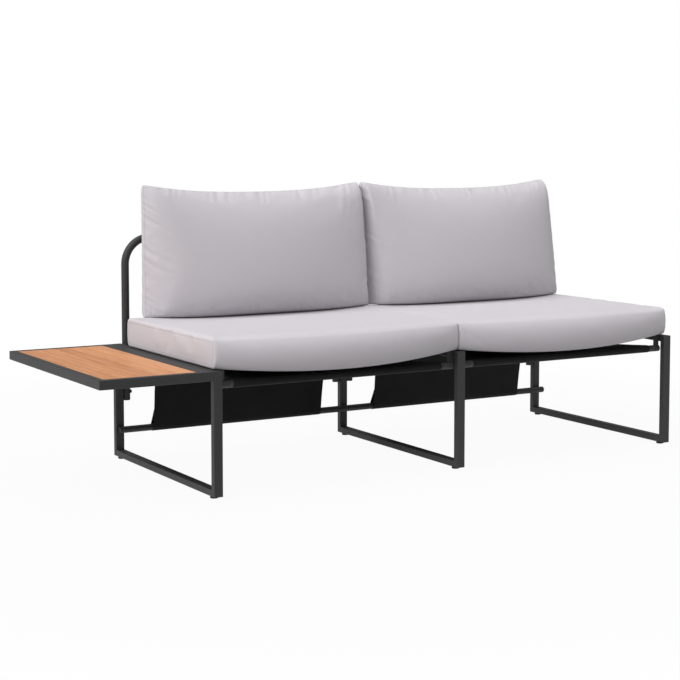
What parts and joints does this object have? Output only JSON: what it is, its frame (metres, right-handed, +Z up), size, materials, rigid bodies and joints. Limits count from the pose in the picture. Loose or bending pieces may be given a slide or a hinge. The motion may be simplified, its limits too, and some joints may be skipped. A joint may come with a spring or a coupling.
{
  "type": "garden sofa",
  "caption": "Low garden sofa on steel leg loops, with slung mesh seats and backs, loose cushions, levelling feet and a slatted wooden side table at its end.",
  "frame": {"origin": "centre of the bounding box in plan, at floor level", "axes": "+X along the length, away from the table; +Y towards the back; +Z up"},
  "size_m": [1.816, 0.6952, 0.7701],
  "materials": {
    "frame_paint": "satin powder coat",
    "mesh": "woven coated yarn",
    "cushion_cloth": "plain weave",
    "oiled_wood": "oiled",
    "black_plastic": "moulded",
    "dark_steel": "blackened",
    "zinc_steel": "zinc plated"
  },
  "bodies": {
    "frame": {"left_front_leg": "frame_paint", "left_rear_leg": "frame_paint", "left_bottom_rail": "frame_paint", "left_top_rail": "frame_paint", "middle_front_leg": "frame_paint", "middle_rear_leg": "frame_paint", "middle_bottom_rail": "frame_paint", "middle_top_rail": "frame_paint", "right_front_leg": "frame_paint", "right_rear_leg": "frame_paint", "right_bottom_rail": "frame_paint", "right_top_rail": "frame_paint", "foot_inserts": "zinc_steel", "left_seat_tube": "frame_paint", "left_back_hoop": "frame_paint", "left_seat_sling": "mesh", "left_back_sling": "mesh", "right_seat_tube": "frame_paint", "right_back_hoop": "frame_paint", "right_seat_sling": "mesh", "right_back_sling": "mesh", "low_rear_tube": "frame_paint", "seat_hangers": "frame_paint", "low_tube_caps": "black_plastic", "hoop_plugs": "black_plastic", "stop_screws": "dark_steel", "low_tube_screws": "dark_steel", "hoop_bolts": "dark_steel", "table_bolts": "dark_steel", "slat_screws": "dark_steel", "table_front_rail": "frame_paint", "table_rear_rail": "frame_paint", "table_left_rail": "frame_paint", "table_right_rail": "frame_paint", "table_slat_1": "oiled_wood", "table_slat_2": "oiled_wood", "table_slat_3": "oiled_wood", "table_slat_4": "oiled_wood", "table_slat_5": "oiled_wood", "table_bar_1": "frame_paint", "table_bar_2": "frame_paint", "table_bar_3": "frame_paint"},
    "left_front_foot_body": {"left_front_foot": "black_plastic"},
    "left_rear_foot_body": {"left_rear_foot": "black_plastic"},
    "middle_front_foot_body": {"middle_front_foot": "black_plastic"},
    "middle_rear_foot_body": {"middle_rear_foot": "black_plastic"},
    "right_front_foot_body": {"right_front_foot": "black_plastic"},
    "right_rear_foot_body": {"right_rear_foot": "black_plastic"},
    "left_seat_cushion_body": {"left_seat_cushion": "cushion_cloth"},
    "left_back_cushion_body": {"left_back_cushion": "cushion_cloth"},
    "right_seat_cushion_body": {"right_seat_cushion": "cushion_cloth"},
    "right_back_cushion_body": {"right_back_cushion": "cushion_cloth"}
  },
  "joints": [
    {"name": "left_front_foot_screw", "type": "slide", "parent": "frame", "child": "left_front_foot_body", "axis": [0, 0, -1], "range_m": [0, 0.008]},
    {"name": "left_rear_foot_screw", "type": "slide", "parent": "frame", "child": "left_rear_foot_body", "axis": [0, 0, -1], "range_m": [0, 0.008]},
    {"name": "middle_front_foot_screw", "type": "slide", "parent": "frame", "child": "middle_front_foot_body", "axis": [0, 0, -1], "range_m": [0, 0.008]},
    {"name": "middle_rear_foot_screw", "type": "slide", "parent": "frame", "child": "middle_rear_foot_body", "axis": [0, 0, -1], "range_m": [0, 0.008]},
    {"name": "right_front_foot_screw", "type": "slide", "parent": "frame", "child": "right_front_foot_body", "axis": [0, 0, -1], "range_m": [0, 0.008]},
    {"name": "right_rear_foot_screw", "type": "slide", "parent": "frame", "child": "right_rear_foot_body", "axis": [0, 0, -1], "range_m": [0, 0.008]},
    {"name": "left_seat_pull", "type": "slide", "parent": "frame", "child": "left_seat_cushion_body", "axis": [0, -1, 0], "range_m": [0, 0.25]},
    {"name": "left_back_lift", "type": "slide", "parent": "frame", "child": "left_back_cushion_body", "axis": [0, 0, 1], "range_m": [0, 0.2]},
    {"name": "right_seat_pull", "type": "slide", "parent": "frame", "child": "right_seat_cushion_body", "axis": [0, -1, 0], "range_m": [0, 0.25]},
    {"name": "right_back_lift", "type": "slide", "parent": "frame", "child": "right_back_cushion_body", "axis": [0, 0, 1], "range_m": [0, 0.2]}
  ]
}
